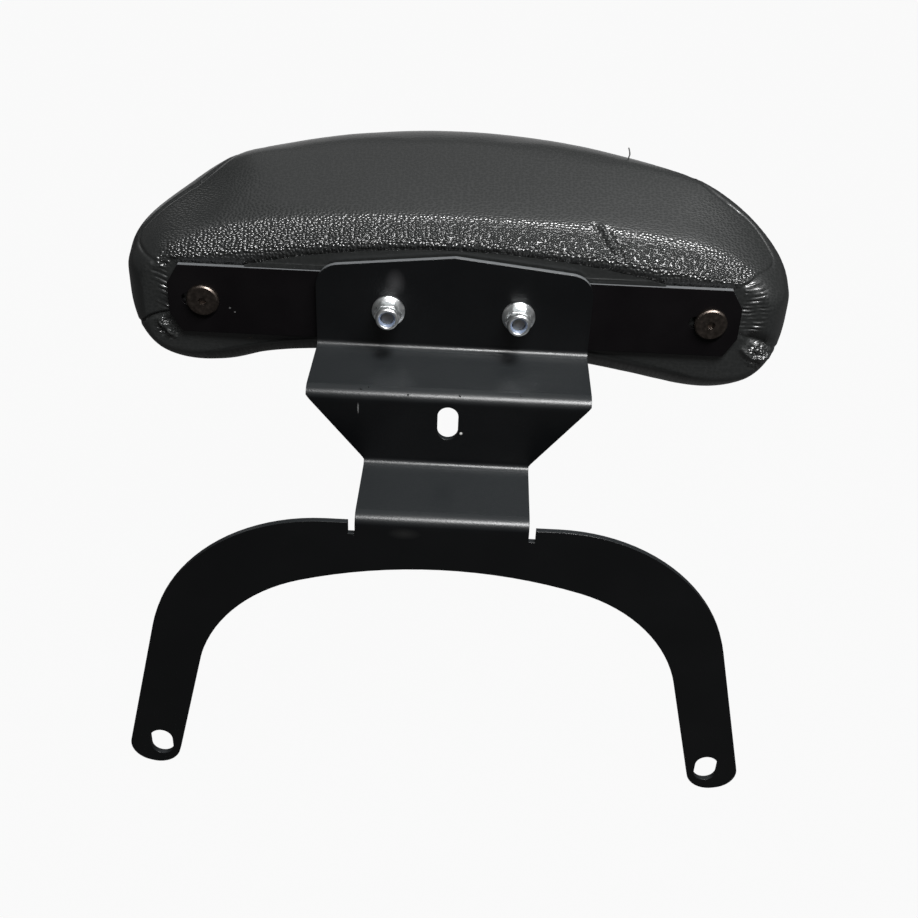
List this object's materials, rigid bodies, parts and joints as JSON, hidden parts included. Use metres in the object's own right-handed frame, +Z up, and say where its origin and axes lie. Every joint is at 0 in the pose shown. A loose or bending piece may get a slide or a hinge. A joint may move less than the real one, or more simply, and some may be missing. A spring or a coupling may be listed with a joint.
{
  "type": "motorcycle backrest",
  "caption": "Motorcycle passenger backrest: a crescent-shaped padded cushion on a folded black steel bracket with an arched plate and slotted legs.",
  "frame": {"origin": "midway between the two leg slots, on the front face of the horseshoe plate, where it meets the motorcycle's frame", "axes": "+X to the motorcycle's right side, +Y forward through the horseshoe plate towards the cushion, +Z up"},
  "size_m": [0.3718, 0.1994, 0.3253],
  "materials": {
    "black_powder_coat": "satin powder coat with fine texture",
    "black_paint": "satin paint",
    "zinc_steel": "bright zinc plate",
    "dark_steel": "dull dark steel",
    "dark_bronze": "dark bronze, semi-gloss",
    "blue_nylon": "smooth nylon",
    "black_leatherette": "pebbled grain, semi-matt",
    "plywood": "raw",
    "foam": "open-cell foam"
  },
  "bodies": {
    "root": {"mounting_bracket": "black_powder_coat", "pad_strap": "black_paint", "backing_board": "plywood", "insert_nut_left": "zinc_steel", "insert_nut_right": "zinc_steel", "bracket_bolt_left": "dark_steel", "bracket_bolt_right": "dark_steel", "bracket_nut_left": "zinc_steel", "bracket_nut_right": "zinc_steel", "nut_insert_left": "blue_nylon", "nut_insert_right": "blue_nylon", "pad_bolt_left": "dark_bronze", "pad_bolt_right": "dark_bronze", "pad_cover": "black_leatherette", "foam_core": "foam"}
  },
  "joints": []
}
